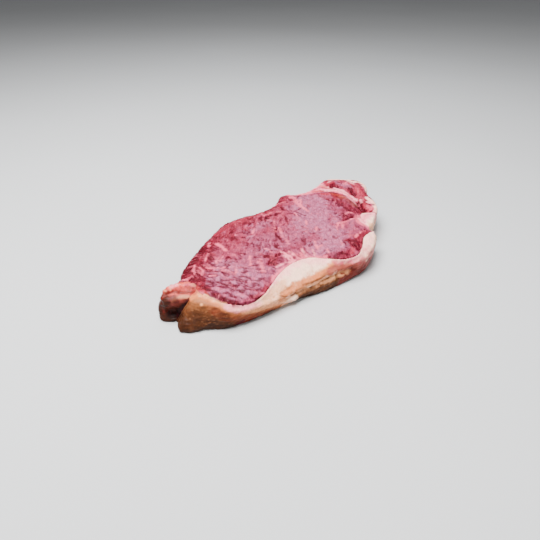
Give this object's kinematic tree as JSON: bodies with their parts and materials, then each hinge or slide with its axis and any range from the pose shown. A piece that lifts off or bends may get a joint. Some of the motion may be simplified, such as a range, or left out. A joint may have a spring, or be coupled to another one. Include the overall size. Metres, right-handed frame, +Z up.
{
  "type": "beef steak",
  "caption": "Raw striploin beef steak lying flat, with a lean eye muscle, a thick fat cap along the side, a folded tail and a narrow end muscle behind a seam of fat.",
  "frame": {"origin": "centre of the steak's box in plan, on the plane of its flat underside", "axes": "+X along the steak from the folded tail to the end muscle, +Y across it away from the fat cap, +Z up out of the upper cut face"},
  "size_m": [0.224, 0.1046, 0.0188],
  "materials": {
    "eye_muscle": "moist cut lean meat, purple-pink with a wet sheen",
    "fat_cap": "moist fat, cream where cut and tan to orange on its outer side",
    "tail_flap": "pink fat over a smooth brown membrane",
    "seam_fat": "moist pinkish cream fat",
    "end_muscle": "moist cut lean meat with a pale outer skin",
    "end_fat": "moist cream fat"
  },
  "bodies": {
    "root": {"eye_muscle": "eye_muscle", "fat_cap": "fat_cap", "tail_flap": "tail_flap", "seam_fat": "seam_fat", "end_muscle": "end_muscle", "end_fat": "end_fat"}
  },
  "joints": []
}
